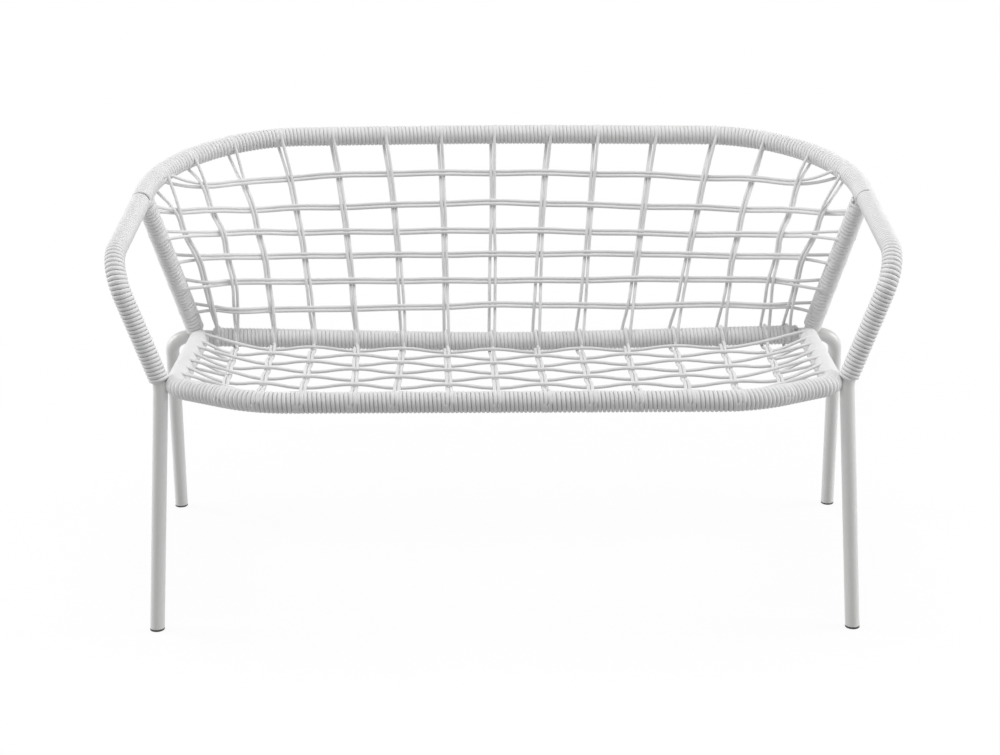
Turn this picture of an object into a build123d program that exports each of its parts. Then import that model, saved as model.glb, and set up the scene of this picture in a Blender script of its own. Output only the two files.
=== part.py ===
from build123d import *
import math
import os

# A two-seat garden bench. Bent steel tubes make the frame, cord is wound round every tube but the
# legs, and doubled cords are woven into an open net for the seat and the back. Millimetres, +Z up,
# +X along the bench, -Y to the front. The origin is on the ground, under the middle of the bench.
# Sizes that end in _y are measured backwards from the line of the front feet.

# --- Tubes and cords -------------------------------------------------------------------------
tube_diameter = 25
tube_wall = 1.5
cord_diameter = 6
arm_winding_thickness = 4.5      # on the arms and the uprights
rail_winding_thickness = 5.5     # on the rails that carry the net
winding_clearance = 0.05         # between a winding and its own tube
weld_gap = 0.2                   # between a cut winding and the piece that passes through it

# --- Side frames -----------------------------------------------------------------------------
front_foot_x = 602
rear_foot_x = 655
rear_foot_y = 582
knee_x = 570                     # where the front leg turns into the arm
knee_height = 447
elbow_x = 642                    # where the arm turns into the armrest
elbow_height = 651
knee_bend = 60
elbow_bend = 70

# --- Arm loop: both armrests and the top rail lie in one sloping plane -------------------------
seam_x = 632                     # the armrest ends here and the top rail begins
seam_y = 268
top_corner_y = 529               # how far back the armrest's line would reach the top rail's
top_corner_bend = 265
top_rail_y = 544
top_rail_height = 764
top_rail_bow_radius = 7000

# --- Rear frame: two legs and the rear seat rail ----------------------------------------------
rear_corner_x = 621
rear_rail_y = 390
rear_rail_height = 400
rear_rail_bow = 12               # how far the rail's corners lie behind its middle
rear_rail_rise = 11              # and above it
rear_leg_bend = 38
rear_rail_bow_radius = 6000

# --- Seat tube: side rails and front rail ------------------------------------------------------
side_rail_rear_x = 567
front_corner_x = 545
front_corner_y = -17
front_rail_x = 403               # where the front rail turns towards its corner
front_rail_y = -100
front_rail_height = 446
front_corner_bend = 50
front_rail_bend = 220

# --- Uprights ----------------------------------------------------------------------------------
upright_foot_x = 571

# --- Glides -------------------------------------------------------------------------------------
glide_height = 4
glide_rim = 0.5
spigot_length = 18
spigot_clearance = 0.2

# --- Net ----------------------------------------------------------------------------------------
pair_gap = 0.4                   # between the two cords of a pair
weave_gap = 2.6                  # between cords that cross
outer_weave_gap = 5.0            # the same at the outer long cords of the back, where the net turns
groove_gap = 1.0                 # spare width of the place that a cord takes in a winding
groove_floor = 0.8               # thickness of the winding that is left under a net cord
cord_clearance = 0.2             # between a net cord and what it lies on
hitch_split = 13                 # between a doubled cord's two legs at the top rail
row_hitch_split = 12             # the same at an upright
rear_split = 9                   # the same at the rear seat rail
weave_bend = 25
seat_drop = 6                    # the seat lies this much under its rear rail and over its front rail
rear_meeting_height = 8          # a back cord meets its seat cord this far over the rear rail's axis
rear_run = 10                    # straight end of a back cord above that
rear_drop = 13                   # straight end of a seat cord below it, before it turns forwards
rear_turn_run = 9
rear_turn_drop = 4
rear_winding_end_x = 546         # the rear rail's winding stops short of the side rails
row_tilt = 0.24                  # how much a cross cord rises per millimetre towards the front
top_places = (-0.89, -0.773, -0.6545, -0.532, -0.407, -0.282, -0.151, -0.024,
              0.11, 0.223, 0.36, 0.503, 0.625, 0.755, 0.88)
rear_places = (-0.936, -0.865, -0.751, -0.621, -0.481, -0.329, -0.187, -0.039,
               0.106, 0.248, 0.399, 0.554, 0.711, 0.854, 0.925)
front_places = (None, -457, -396, -328, -242, -175, -87, -10, 71, 144, 218, 302, 380, 457, None)
inward_pull = (28, 30, 19, 12, 7, 7, 3, 1, 4, 0, 1, 5, 15, 24, 27)
upper_pull = (30, 18, 12, 6, 3, 1, 0, 0, 0, 1, 3, 6, 12, 18, 30)     # forwards, near the top rail
lower_pull = (10, 30, 17, 6, 3, 1, 0, 0, 0, 1, 3, 6, 17, 30, 10)     # forwards, near the seat
row_droops = (                   # how far each cross cord hangs below its plane at each long cord
    (0, 27, 20, 11, 5, 2.5, 2, 2, 2.5, 5, 7, 14, 16.5, 27, 0),
    (15, 13.5, 12, 7.5, 6.5, 3.5, 0.5, -1.5, 1, 4.5, 8, 10.5, 14.5, 18, 21),
    (4.5, 3.5, 2, 3, 2, 2, 1, 0.5, 1.5, 4, 7, 9.5, 11, 10, 10),
    (3.5, 2, 2, 2, 1, 1, 0.5, 0, 0, 0, 0, 3.5, 5, 6, 6.5),
    (1, 0, 0, 0, 0, 0, 0, 0, 0, 0, -1.5, -1.5, 0, 0.5, 3),
    (1.5, 4, 3, 3.5, 2, 1, -0.5, -4.5, -3.5, -1.5, 0, -1.5, -3.5, -1, 0.5))
first_row_place = 0.85           # the first cross cord is hitched to the top rail's corners
first_row_drop = 42              # and passes the outer long cords at least this far under the rail
highest_row_hitch = 0.13         # of an upright's length, from its top
row_slips = {-1: (0, 7, 5, 0, 0), 1: (-6, 14, 14, 10.5, 6)}     # each hitch slipped down its upright
row_places = (0.18, 0.33, 0.46, 0.575, 0.70, 0.825)
seat_row_places = (0.10, 0.235, 0.37, 0.50, 0.635, 0.765, 0.90)

# --- Worked out from the sizes above -------------------------------------------------------------
rear_corner_y = rear_rail_y + rear_rail_bow
rear_corner_height = rear_rail_height + rear_rail_rise
tube_radius = tube_diameter / 2
tube_bore = tube_radius - tube_wall
cord_radius = cord_diameter / 2
winding_bore = tube_radius + winding_clearance
arm_winding_radius = tube_radius + arm_winding_thickness
rail_winding_radius = tube_radius + rail_winding_thickness
groove_radius = tube_radius + groove_floor
loop_radius = groove_radius + cord_clearance + cord_radius
half_pair = cord_radius + pair_gap / 2
half_weave = cord_radius + weave_gap / 2
outer_half_weave = cord_radius + outer_weave_gap / 2
half_split = hitch_split / 2
half_row_split = row_hitch_split / 2
half_rear_split = rear_split / 2
tight_bend = 0.98 * loop_radius
leave_share = 0.4                # of the loop's radius, where a cord leaves its tube
groove_single = cord_diameter + groove_gap
groove_pair = 2 * cord_diameter + pair_gap + groove_gap
groove_hitch = cord_diameter + hitch_split + groove_gap
groove_row_hitch = cord_diameter + row_hitch_split + groove_gap
groove_rear = cord_diameter + rear_split + groove_gap


# The bench reaches from the cords over its front rail to the back of its rear feet.
front_edge = front_rail_y - loop_radius - cord_radius
rear_leg_slope = (rear_foot_y - rear_corner_y) / (rear_corner_height - glide_height)
rear_foot_reach = tube_radius * math.hypot(1, rear_leg_slope)
rear_edge = rear_foot_y + rear_leg_slope * (glide_height - glide_rim) + rear_foot_reach
middle_y = (front_edge + rear_edge) / 2

os.makedirs("parts", exist_ok=True)


# --- Small tools -----------------------------------------------------------------------------------
up = Vector(0, 0, 1)
forwards = Vector(0, -1, 0)
sides = (("left", -1), ("right", 1))     # as seen from the front


def save(piece, name):
    """Label a finished piece and write it."""
    piece.part.label = name
    export_step(piece.part, f"parts/{name}.step")


def at(x, y, z):
    """Return a point from its place behind the line of the front feet."""
    return Vector(x, y - middle_y, z)


def mirrored(point):
    """Return the same point on the bench's other side."""
    return Vector(-point.X, point.Y, point.Z)


def between(start, end, share):
    """Return the point that lies this share of the way from start to end."""
    return start + (end - start) * share


def on_arm_loop(x, y):
    """Return a point of the sloping plane that holds the armrests and the top rail."""
    return at(x, y, elbow_height + y * (top_rail_height - elbow_height) / top_rail_y)


def square_to(direction, axis):
    """Return the unit part of a direction that is square to an axis."""
    unit = axis.normalized()
    return (direction - unit * direction.dot(unit)).normalized()


def route_of(points, bends):
    """Return straight runs joined by arcs, or a single straight run."""
    with BuildLine() as route:
        if bends:
            FilletPolyline(*points, radius=bends)
        else:
            Line(*points)
    return route.line


def place_at_x(rail, x):
    """Return the share of a rail's length at which it passes x."""
    low, high = 0.0, 1.0
    for _ in range(40):
        middle = (low + high) / 2
        if (rail @ middle).X < x:
            low = middle
        else:
            high = middle
    return (low + high) / 2


def pipe(points, bends, outer, inner):
    """Sweep a ring section along a route."""
    route = route_of(points, bends)
    with BuildPart() as body:
        with BuildSketch(Plane(origin=route @ 0, z_dir=route % 0)):
            Circle(outer)
            if inner:
                Circle(inner, mode=Mode.SUBTRACT)
        sweep(path=route)
    return body.part


def turn_radius(before, point, after, limit):
    """Return a bend radius that fits the runs on both sides of a point."""
    turn = math.radians((point - before).get_angle(after - point))
    shorter = min((point - before).length, (after - point).length)
    return min(limit, 0.45 * shorter / math.tan(turn / 2))


def cord(points, tight_corners=()):
    """Sweep a cord through its points; the tight corners lie against a tube."""
    bends = []
    for index in range(1, len(points) - 1):
        if index in tight_corners:
            bends.append(tight_bend)
        else:
            before, point, after = points[index - 1: index + 2]
            bends.append(turn_radius(before, point, after, weave_bend))
    return pipe(points, bends, cord_radius, 0)


def rod(points, bends, radius):
    """Return a solid bar on a route, for cutting what a tube or a winding runs through."""
    return pipe(points, bends, radius, 0)


def round_the_tube(centre, leave, side, slide):
    """Return the corner and the leaving point of a cord that comes round a tube."""
    corner = centre + (side - leave) * loop_radius + slide
    return corner, centre + side * loop_radius + leave * (leave_share * loop_radius) + slide


def groove(place, along, width):
    """Return a ring round a rail, for cutting the place that a net cord takes in its winding."""
    with BuildPart() as ring:
        with BuildSketch(Plane(origin=place, z_dir=along)):
            Circle(2 * tube_radius)
            Circle(groove_radius, mode=Mode.SUBTRACT)
        extrude(amount=width / 2, both=True)
    return ring.part


# --- Frame routes ------------------------------------------------------------------------------------

def leg_start(foot, knee):
    """Return a point under the ground on a leg's line, from which the leg is cut level."""
    return foot + (foot - knee).normalized() * tube_diameter


def side_points(sign):
    """Front leg, arm and armrest: foot, knee, elbow and seam."""
    foot = at(sign * front_foot_x, 0, glide_height)
    knee = at(sign * knee_x, 0, knee_height)
    elbow = on_arm_loop(sign * elbow_x, 0)
    return [leg_start(foot, knee), knee, elbow, on_arm_loop(sign * seam_x, seam_y)]


def arm_winding_points(sign):
    """From just above the knee's bend to just short of the seam."""
    foot, knee, elbow, seam = side_points(sign)
    turn = math.radians((knee - foot).get_angle(elbow - knee))
    clear_of_bend = knee_bend * math.tan(turn / 2) + weld_gap
    start = knee + (elbow - knee).normalized() * clear_of_bend
    return [start, elbow, seam + (elbow - seam).normalized() * groove_gap]


def top_points(pull_back):
    """The top rail from seam to seam, each end drawn back by a little."""
    elbow = on_arm_loop(elbow_x, 0)
    seam = on_arm_loop(seam_x, seam_y)
    corner = elbow + (seam - elbow) * (top_corner_y / seam_y)
    middle = on_arm_loop(0, top_rail_y)
    end = seam + (corner - seam).normalized() * pull_back
    return [mirrored(end), mirrored(corner), middle, corner, end]


def rear_points():
    """Left rear leg, rear seat rail and right rear leg."""
    foot = at(rear_foot_x, rear_foot_y, glide_height)
    corner = at(rear_corner_x, rear_corner_y, rear_corner_height)
    middle = at(0, rear_rail_y, rear_rail_height)
    start = leg_start(foot, corner)
    return [mirrored(start), mirrored(corner), middle, corner, start]


def seat_points():
    """Left side rail, front rail and right side rail."""
    front = at(front_rail_x, front_rail_y, front_rail_height)
    corner = at(front_corner_x, front_corner_y, front_rail_height)
    rear = side_rail_rear
    return [mirrored(rear), mirrored(corner), mirrored(front), front, corner, rear]


def upright_points(sign):
    """From the rear seat rail to the seam of the arm loop."""
    foot = rear_route @ place_at_x(rear_route, sign * upright_foot_x)
    return [foot, on_arm_loop(sign * seam_x, seam_y)]


side_bends = [knee_bend, elbow_bend]
top_bends = [top_corner_bend, top_rail_bow_radius, top_corner_bend]
rear_bends = [rear_leg_bend, rear_rail_bow_radius, rear_leg_bend]
seat_bends = [front_corner_bend, front_rail_bend, front_rail_bend, front_corner_bend]

rear_route = route_of(rear_points(), rear_bends)
side_rail_rear = rear_route @ place_at_x(rear_route, side_rail_rear_x)
seat_route = route_of(seat_points(), seat_bends)
top_route = route_of(top_points(0), top_bends)

rear_bar = rod(rear_points(), rear_bends, tube_radius)
upright_bars = [rod(upright_points(sign), [], tube_radius) for name, sign in sides]
arm_bars = [rod(side_points(sign), side_bends, tube_radius) for name, sign in sides]
top_bar = rod(top_points(0), top_bends, tube_radius)

# --- Frame tubes -------------------------------------------------------------------------------------
ground = Plane.XY.offset(glide_height)

for name, sign in sides:
    with BuildPart() as side_tube:
        add(pipe(side_points(sign), side_bends, tube_radius, tube_bore))
        with BuildSketch(ground):
            Rectangle(4 * front_foot_x, 4 * front_foot_x)
        extrude(amount=-2 * tube_diameter, mode=Mode.SUBTRACT)
    save(side_tube, f"front_leg_and_arm_{name}")

with BuildPart() as top_rail:
    add(pipe(top_points(0), top_bends, tube_radius, tube_bore))
save(top_rail, "back_top_rail")

with BuildPart() as rear_frame:
    add(pipe(rear_points(), rear_bends, tube_radius, tube_bore))
    with BuildSketch(ground):
        Rectangle(4 * rear_foot_x, 4 * rear_foot_x)
    extrude(amount=-2 * tube_diameter, mode=Mode.SUBTRACT)
save(rear_frame, "rear_legs_and_seat_rail")

for name, sign in sides:
    with BuildPart() as upright:
        add(pipe(upright_points(sign), [], tube_radius, tube_bore))
        for bar in [rear_bar, top_bar, *arm_bars]:
            add(bar, mode=Mode.SUBTRACT)
    save(upright, f"back_upright_{name}")

with BuildPart() as seat_tube:
    add(pipe(seat_points(), seat_bends, tube_radius, tube_bore))
    for bar in [rear_bar, *upright_bars]:
        add(bar, mode=Mode.SUBTRACT)
save(seat_tube, "seat_front_and_side_rails")

# --- Glides: a plastic foot under each leg, with a spigot up its bore --------------------------------
def glide(foot, knee):
    """Return one glide, cut level on the ground and under the leg's end."""
    leg = Plane(origin=foot, z_dir=knee - foot)
    with BuildPart() as body:
        with BuildSketch(leg.offset(-tube_diameter)):
            Circle(tube_radius)
        extrude(amount=2 * tube_diameter)
        with BuildSketch(Plane.XY):
            with Locations((foot.X, foot.Y)):
                Rectangle(4 * tube_diameter, 4 * tube_diameter)
        extrude(amount=glide_height, mode=Mode.INTERSECT)
        fillet(body.faces().sort_by(Axis.Z)[0].edges(), radius=glide_rim)
        with BuildSketch(leg):
            Circle(tube_bore - spigot_clearance)
        extrude(amount=spigot_length)
    return body.part


with BuildPart() as front_glides:
    for name, sign in sides:
        foot = at(sign * front_foot_x, 0, glide_height)
        add(glide(foot, at(sign * knee_x, 0, knee_height)))
save(front_glides, "front_foot_glides")

with BuildPart() as rear_glides:
    for name, sign in sides:
        foot = at(sign * rear_foot_x, rear_foot_y, glide_height)
        add(glide(foot, at(sign * rear_corner_x, rear_corner_y, rear_corner_height)))
save(rear_glides, "rear_foot_glides")

# --- Places of the net's cords -------------------------------------------------------------------------
columns = range(len(top_places))
seat_columns = columns[1:-1]
middle_column = len(top_places) // 2
rows = range(len(row_places))
seat_rows = range(len(seat_row_places))

top_shares = [0.5 + place / 2 for place in top_places]
rear_shares = [place_at_x(rear_route, place * upright_foot_x) for place in rear_places]
top_hooks = [top_route @ share for share in top_shares]
rear_hooks = [rear_route @ share for share in rear_shares]
front_shares = {column: place_at_x(seat_route, front_places[column]) for column in seat_columns}
front_hooks = {column: seat_route @ front_shares[column] for column in seat_columns}
side_rail_front = at(front_corner_x, front_corner_y, front_rail_height)


def on_column(column, share):
    """Return a point of a back cord's middle line; the cross cords pull it in and forwards."""
    start = top_hooks[column]
    end = rear_hooks[column] + forwards * loop_radius
    forward_pull = upper_pull[column] * (1 - share) + lower_pull[column] * share
    pull = Vector(-math.copysign(1, start.X) * inward_pull[column], -forward_pull, 0)
    return between(start, end, share) + pull * (4 * share * (1 - share))


row_centres = [on_column(middle_column, share) for share in row_places]


def crossing_share(route, row, droop=0):
    """Return the share of a falling route at which it meets a cross cord's sloping plane."""
    low, high = 0.0, 1.0
    centre = row_centres[row]
    for _ in range(40):
        middle = (low + high) / 2
        point = route(middle)
        if point.Z > centre.Z - droop + row_tilt * (centre.Y - point.Y):
            low = middle
        else:
            high = middle
    return (low + high) / 2


def back_crossing(row, column):
    """Return the middle of the place where a back cord crosses a cross cord."""
    share = crossing_share(lambda share: on_column(column, share), row, row_droops[row][column])
    highest = first_row_drop / (rear_hooks[column] - top_hooks[column]).length
    return on_column(column, max(share, highest))


crossings = [[back_crossing(row, column) for column in columns] for row in rows]


def net_frame(row, column):
    """Return the ways square to a long cord, square to a cross cord and out of the back net."""
    rightwards = crossings[row][min(column + 1, columns[-1])] - crossings[row][max(column - 1, 0)]
    downwards = crossings[min(row + 1, rows[-1])][column] - crossings[max(row - 1, 0)][column]
    out = downwards.cross(rightwards).normalized()
    return square_to(rightwards, downwards), square_to(downwards, rightwards), out


def long_cord_lift(row, column):
    """Return how far a back cord stands out of the net where it crosses a cross cord."""
    lift = half_weave if column in seat_columns[1:-1] else outer_half_weave
    return lift if (row + column) % 2 else -lift


def row_hook(row, sign):
    """Return where a cross cord is hitched and the way of the tube there."""
    if row == 0:
        share = 0.5 + sign * first_row_place / 2
        return top_route @ share, (top_route % share) * sign
    foot, top = upright_points(sign)
    share = crossing_share(lambda share: between(top, foot, share), row)
    hitches_above = (row - 1) * groove_row_hitch / (top - foot).length
    highest = highest_row_hitch + hitches_above
    slip = row_slips[sign][row - 1] / (top - foot).length
    return between(top, foot, max(share, highest) + slip), (top - foot).normalized()


def side_hook(row, sign):
    """Return where a seat cross cord goes over a side rail."""
    hook = between(side_rail_rear, side_rail_front, seat_row_places[row])
    return hook if sign > 0 else mirrored(hook)


def seat_crossing(row, column):
    """Return the middle of the place where a seat cord crosses a cross cord."""
    share = seat_row_places[row]
    rise = seat_drop * (2 * share - 1)
    return between(rear_hooks[column], front_hooks[column], share) + up * rise


# --- Windings: cord wound closely round the tubes ----------------------------------------------------
arm_winding_rods = [rod(arm_winding_points(sign), [elbow_bend], arm_winding_radius + weld_gap)
                    for name, sign in sides]
top_winding_rod = rod(top_points(groove_gap), top_bends, rail_winding_radius + weld_gap)
seat_winding_rod = rod(seat_points(), seat_bends, rail_winding_radius + weld_gap)
spare_upright_rods = [rod(upright_points(sign), [], tube_radius + weld_gap) for name, sign in sides]
spare_rear_rod = rod(rear_points(), rear_bends, tube_radius + weld_gap)
spare_side_rods = [rod(side_points(sign), side_bends, tube_radius + weld_gap) for name, sign in sides]

for name, sign in sides:
    with BuildPart() as arm_winding:
        add(pipe(arm_winding_points(sign), [elbow_bend], arm_winding_radius, winding_bore))
        for bar in spare_upright_rods:
            add(bar, mode=Mode.SUBTRACT)
    save(arm_winding, f"arm_winding_{name}")

with BuildPart() as top_winding:
    add(pipe(top_points(groove_gap), top_bends, rail_winding_radius, winding_bore))
    for bar in spare_upright_rods:
        add(bar, mode=Mode.SUBTRACT)
    for share in top_shares:
        add(groove(top_route @ share, top_route % share, groove_hitch), mode=Mode.SUBTRACT)
    for name, sign in sides:
        place, along = row_hook(0, sign)
        add(groove(place, along, groove_row_hitch), mode=Mode.SUBTRACT)
save(top_winding, "top_rail_winding")

for name, sign in sides:
    foot, top = upright_points(sign)
    start = foot + (top - foot).normalized() * (tube_radius + weld_gap)
    with BuildPart() as upright_winding:
        add(pipe([start, top], [], arm_winding_radius, winding_bore))
        for bar in [*arm_winding_rods, top_winding_rod, seat_winding_rod, spare_rear_rod]:
            add(bar, mode=Mode.SUBTRACT)
        for row in rows[1:]:
            place, along = row_hook(row, sign)
            add(groove(place, along, groove_row_hitch), mode=Mode.SUBTRACT)
    save(upright_winding, f"upright_winding_{name}")

rear_winding_ends = [place_at_x(rear_route, sign * rear_winding_end_x) for name, sign in sides]
with BuildPart() as rear_winding:
    ends = [rear_route @ share for share in rear_winding_ends]
    middle = at(0, rear_rail_y, rear_rail_height)
    add(pipe([ends[0], middle, ends[1]], [rear_rail_bow_radius], rail_winding_radius, winding_bore))
    for share in rear_shares:
        add(groove(rear_route @ share, rear_route % share, groove_rear), mode=Mode.SUBTRACT)
save(rear_winding, "rear_rail_winding")

with BuildPart() as seat_winding:
    add(pipe(seat_points(), seat_bends, rail_winding_radius, winding_bore))
    for bar in [spare_rear_rod, *spare_upright_rods, *spare_side_rods, *arm_winding_rods]:
        add(bar, mode=Mode.SUBTRACT)
    for column in seat_columns:
        add(groove(front_hooks[column], seat_route % front_shares[column], groove_pair),
            mode=Mode.SUBTRACT)
    for row in seat_rows:
        for name, sign in sides:
            along = side_rail_front - side_rail_rear
            way = along if sign > 0 else mirrored(along)
            add(groove(side_hook(row, sign), way, groove_single), mode=Mode.SUBTRACT)
save(seat_winding, "seat_rail_winding")

# --- Back net ------------------------------------------------------------------------------------------
def back_cord_points(column):
    """One doubled cord: up from the rear rail, over the top rail and down again."""
    centre, along = top_hooks[column], top_route % top_shares[column]
    leave = square_to(crossings[1][column] - centre, along)
    front = leave.cross(along)
    inwards = -math.copysign(1, centre.X)
    outermost = column in (columns[0], columns[-1])
    legs = []
    for side, facing in ((inwards, front), (-inwards, -front)):
        corner, leaving = round_the_tube(centre, leave, facing, along * (side * half_split))
        leg = [corner, leaving]
        for row in rows[1:] if outermost else rows:
            across, down, out = net_frame(row, column)
            early = -half_pair if row == 0 else 0
            offset = across * (side * half_pair) + down * early
            leg.append(crossings[row][column] + offset + out * long_cord_lift(row, column))
        rear_along = rear_route % rear_shares[column]
        end = rear_hooks[column] + forwards * loop_radius + rear_along * (side * half_rear_split)
        end += up * rear_meeting_height
        legs.append(leg + [end + up * rear_run, end])
    return legs[0][::-1] + legs[1], (len(legs[0]) - 1, len(legs[0]))


for column in columns:
    points, corners = back_cord_points(column)
    with BuildPart() as back_cord:
        add(cord(points, corners))
    save(back_cord, f"back_long_cord_{column + 1:02d}")


def cross_cord_points(row):
    """One doubled cord: from the left tube across the net, round the right tube and back."""
    crossed = seat_columns if row == 0 else columns
    hooks = {sign: row_hook(row, sign) for name, sign in sides}
    ends = {}
    for sign, first in ((-1, crossed[0]), (1, crossed[-1])):
        centre, along = hooks[sign]
        leave = square_to(crossings[row][first] - centre, along)
        facing = along.cross(leave)
        if facing.dot(forwards + up) < 0:
            facing = -facing
        for side in (-1, 1):
            slide = along * (-side * half_row_split)
            corner, leaving = round_the_tube(centre, leave, facing * -side, slide)
            ends[sign, side] = [centre - leave * loop_radius + slide, corner, leaving]
    strands = []
    for side in (-1, 1):
        strand = []
        for column in crossed:
            across, down, out = net_frame(row, column)
            early = {crossed[0]: -half_pair, crossed[-1]: half_pair}.get(column, 0)
            offset = down * (side * half_pair) + across * early
            strand.append(crossings[row][column] + offset - out * long_cord_lift(row, column))
        strands.append(ends[-1, side] + strand + ends[1, side][:0:-1])
    first_corner = len(strands[0]) - 1
    points = strands[0] + strands[1][::-1]
    return points, (1, first_corner, first_corner + 1, len(points) - 2)


for row in rows:
    points, corners = cross_cord_points(row)
    with BuildPart() as cross_cord:
        add(cord(points, corners))
    save(cross_cord, f"back_cross_cord_{row + 1}")

# --- Seat net ------------------------------------------------------------------------------------------
def seat_cord_points(column, side):
    """One cord of a pair: from its back cord's end along the seat and round the front rail."""
    rear_along = rear_route % rear_shares[column]
    start = rear_hooks[column] + forwards * loop_radius + rear_along * (side * half_rear_split)
    start += up * rear_meeting_height
    turn = start - up * rear_drop
    points = [start, turn, turn + forwards * rear_turn_run - up * rear_turn_drop]
    for row in seat_rows:
        weave = -half_weave if (row + column) % 2 else half_weave
        across = Vector(1, 0, 0) * (side * half_pair)
        points.append(seat_crossing(row, column) + across + up * weave)
    centre, along = front_hooks[column], seat_route % front_shares[column]
    leave = square_to(-forwards, along)
    over = along.cross(leave)
    strand = seat_crossing(seat_rows[-1], column) - centre
    slide = along * (side * half_pair / math.cos(math.radians(strand.get_angle(leave))))
    corner, leaving = round_the_tube(centre, leave, over, slide)
    lower_corner = round_the_tube(centre, leave, -over, slide)[0]
    return points + [leaving, corner, lower_corner, centre - over * loop_radius + slide]


for column in seat_columns:
    with BuildPart() as seat_pair:
        for side in (-1, 1):
            points = seat_cord_points(column, side)
            add(cord(points, (len(points) - 3, len(points) - 2)))
    save(seat_pair, f"seat_long_cords_{column + 1:02d}")


def seat_cross_cord_points(row):
    """A single cord across the seat, hooked over both side rails."""
    ends = {}
    for name, sign in sides:
        centre = side_hook(row, sign)
        along = side_rail_front - side_rail_rear
        along = along if sign > 0 else mirrored(along)
        leave = square_to(Vector(-sign, 0, 0), along)
        over = square_to(up, along)
        corner, leaving = round_the_tube(centre, leave, over, Vector(0, 0, 0))
        lower_corner = round_the_tube(centre, leave, -over, Vector(0, 0, 0))[0]
        ends[sign] = [centre - over * loop_radius, lower_corner, corner, leaving]
    strand = []
    for column in seat_columns:
        weave = half_weave if (row + column) % 2 else -half_weave
        strand.append(seat_crossing(row, column) + up * weave)
    points = ends[-1] + strand + ends[1][::-1]
    return points, (1, 2, len(points) - 3, len(points) - 2)


with BuildPart() as seat_cross_cords:
    for row in seat_rows:
        points, corners = seat_cross_cord_points(row)
        add(cord(points, corners))
save(seat_cross_cords, "seat_cross_cords")
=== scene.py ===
# %% [markdown]
# # A garden bench of bent tube and wound cord
#
# The bench is a frame of white steel tubes. Cord is wound closely round every tube but the legs,
# and doubled cords are woven into an open net for the seat and the back. The tubes and the feet
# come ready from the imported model. This lesson adds what makes the bench look real: the turns of
# the windings, the soft weave of the net, the paint, and the light of a plain studio.

# %% Load the frame
from math import cos, pi, radians, sin, tan

import bpy
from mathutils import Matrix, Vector


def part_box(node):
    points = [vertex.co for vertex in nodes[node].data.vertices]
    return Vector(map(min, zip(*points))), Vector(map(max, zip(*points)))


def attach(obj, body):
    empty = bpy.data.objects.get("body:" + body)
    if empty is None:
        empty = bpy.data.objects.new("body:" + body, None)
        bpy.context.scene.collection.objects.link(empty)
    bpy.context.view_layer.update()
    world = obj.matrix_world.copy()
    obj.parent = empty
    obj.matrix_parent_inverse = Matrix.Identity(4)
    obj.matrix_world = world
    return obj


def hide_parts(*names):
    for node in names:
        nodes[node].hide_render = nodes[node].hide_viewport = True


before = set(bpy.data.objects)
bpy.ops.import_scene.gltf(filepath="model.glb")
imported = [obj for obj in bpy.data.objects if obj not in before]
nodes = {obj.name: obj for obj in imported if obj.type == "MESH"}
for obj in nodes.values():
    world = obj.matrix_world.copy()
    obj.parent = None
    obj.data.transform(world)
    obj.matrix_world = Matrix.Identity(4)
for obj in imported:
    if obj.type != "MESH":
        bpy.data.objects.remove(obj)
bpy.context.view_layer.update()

# %% [markdown]
# ## Measures
#
# Everything is in metres, in the model's own frame: +X along the bench, -Y to the front, +Z up.
# Distances to the back are measured from the line of the front feet, so the first thing to find
# is where that line lies. The feet's own box tells it.

# %% Measures of the tubes and cords
feet_low, feet_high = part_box("front_foot_glides")
feet_line_y = (feet_low[1] + feet_high[1]) / 2

tube_radius = 0.0125
cord_radius = 0.003
cord_pitch = 0.00713             # from one turn of a winding to the next
arm_cord_pitch = 0.0069          # the arms are wound a little closer
arm_cord_thickness = 0.0045      # how far a winding stands out from its tube
rail_cord_thickness = 0.0055
print("front feet stand at y =", round(feet_line_y, 4))


def at(x, y, z):
    """Return a point from its place behind the line of the front feet."""
    return Vector((x, y + feet_line_y, z))


def mirrored(point):
    return Vector((-point.x, point.y, point.z))


# %% [markdown]
# ## Middle lines
#
# A bent tube is described by the corners that its middle line would have if its bends were sharp,
# and by the radius of each bend. The armrests and the top rail lie in one sloping plane, so a
# point of them needs only two numbers. The left half mirrors the right one.

# %% Corners and bends of the middle lines
elbow_x, elbow_height = 0.642, 0.651
knee_x, knee_height = 0.570, 0.447
loop_depth, loop_back_height = 0.544, 0.764     # the middle of the top rail
loop_corner_depth = 0.529
seam_x, seam_depth = 0.6328, 0.247              # where the armrest meets the top rail
above_knee, seam_gap = 0.0133, 0.001            # bare ends of the arm's line
upright_top_x, upright_top_depth = 0.632, 0.268
upright_foot_x, side_rail_rear_x, rear_corner_x = 0.571, 0.567, 0.621
rear_middle, rear_corner = at(0, 0.390, 0.400), at(rear_corner_x, 0.402, 0.411)
rear_foot = at(0.655, 0.582, 0.004)
side_rail_front, front_corner = at(0.545, -0.017, 0.446), at(0.403, -0.100, 0.446)
arm_bends = [0.070]
top_bends = [0.265, 7.0, 0.265]
rear_bends = [0.038, 6.0, 0.038]
seat_bends = [0.050, 0.220, 0.220, 0.050]
print("corners of the rear rail at x =", rear_corner_x)


# %% Middle lines of the tubes
def on_arm_loop(x, depth):
    """Return a point of the sloping plane that holds the armrests and the top rail."""
    return at(x, depth, elbow_height + depth * (loop_back_height - elbow_height) / loop_depth)


def arm_line(sign):
    """Arm and armrest: from just above the knee to where the top rail's winding starts."""
    knee, elbow = at(sign * knee_x, 0, knee_height), on_arm_loop(sign * elbow_x, 0)
    seam = on_arm_loop(sign * seam_x, seam_depth)
    start = knee + (elbow - knee).normalized() * above_knee
    return [start, elbow, seam + (elbow - seam).normalized() * seam_gap]


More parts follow.
